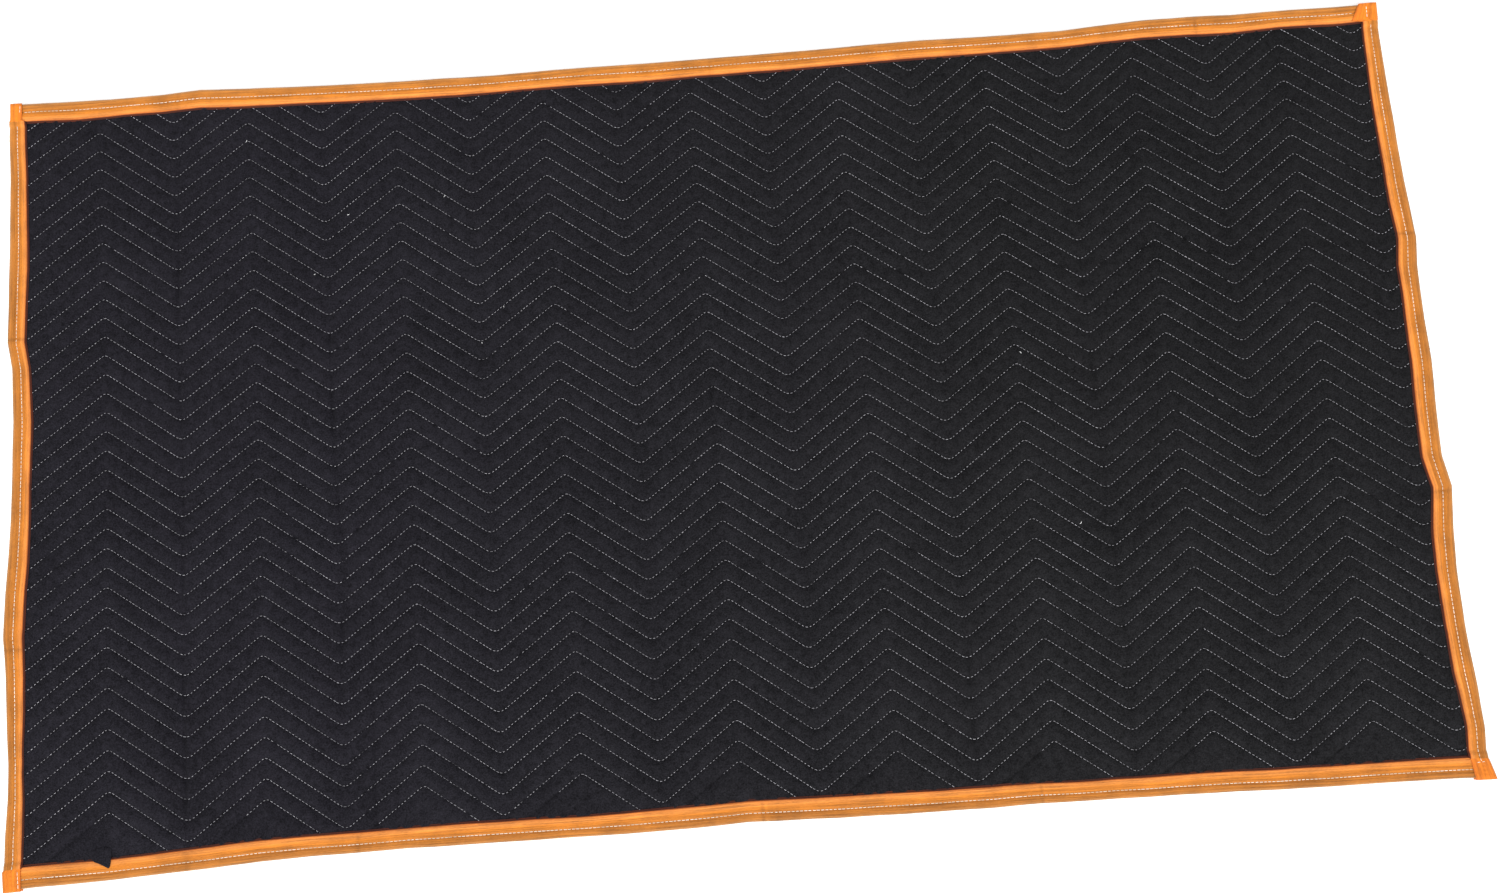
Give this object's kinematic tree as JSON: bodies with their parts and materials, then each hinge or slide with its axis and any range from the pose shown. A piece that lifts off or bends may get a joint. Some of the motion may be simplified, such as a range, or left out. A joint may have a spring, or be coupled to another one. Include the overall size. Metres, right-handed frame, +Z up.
{
  "type": "moving pad",
  "caption": "Flat rectangular quilted pad with zigzag rows and a folded binding on each edge, for wrapping furniture.",
  "frame": {"origin": "centre of the pad's outline on the floor that it lies on", "axes": "+X along the long side to the picture's right, +Y across the pad to the picture's top, +Z up"},
  "size_m": [1.8364, 1.0176, 0.0079],
  "materials": {
    "black_cloth": "matt bluish black thin cloth over batting, sewn with pale thread",
    "orange_binding": "matt orange non-woven strip, browner where one layer lies over the black panel"
  },
  "bodies": {
    "root": {"quilted_panel": "black_cloth", "binding_top": "orange_binding", "binding_bottom": "orange_binding", "binding_left": "orange_binding", "binding_right": "orange_binding"}
  },
  "joints": []
}
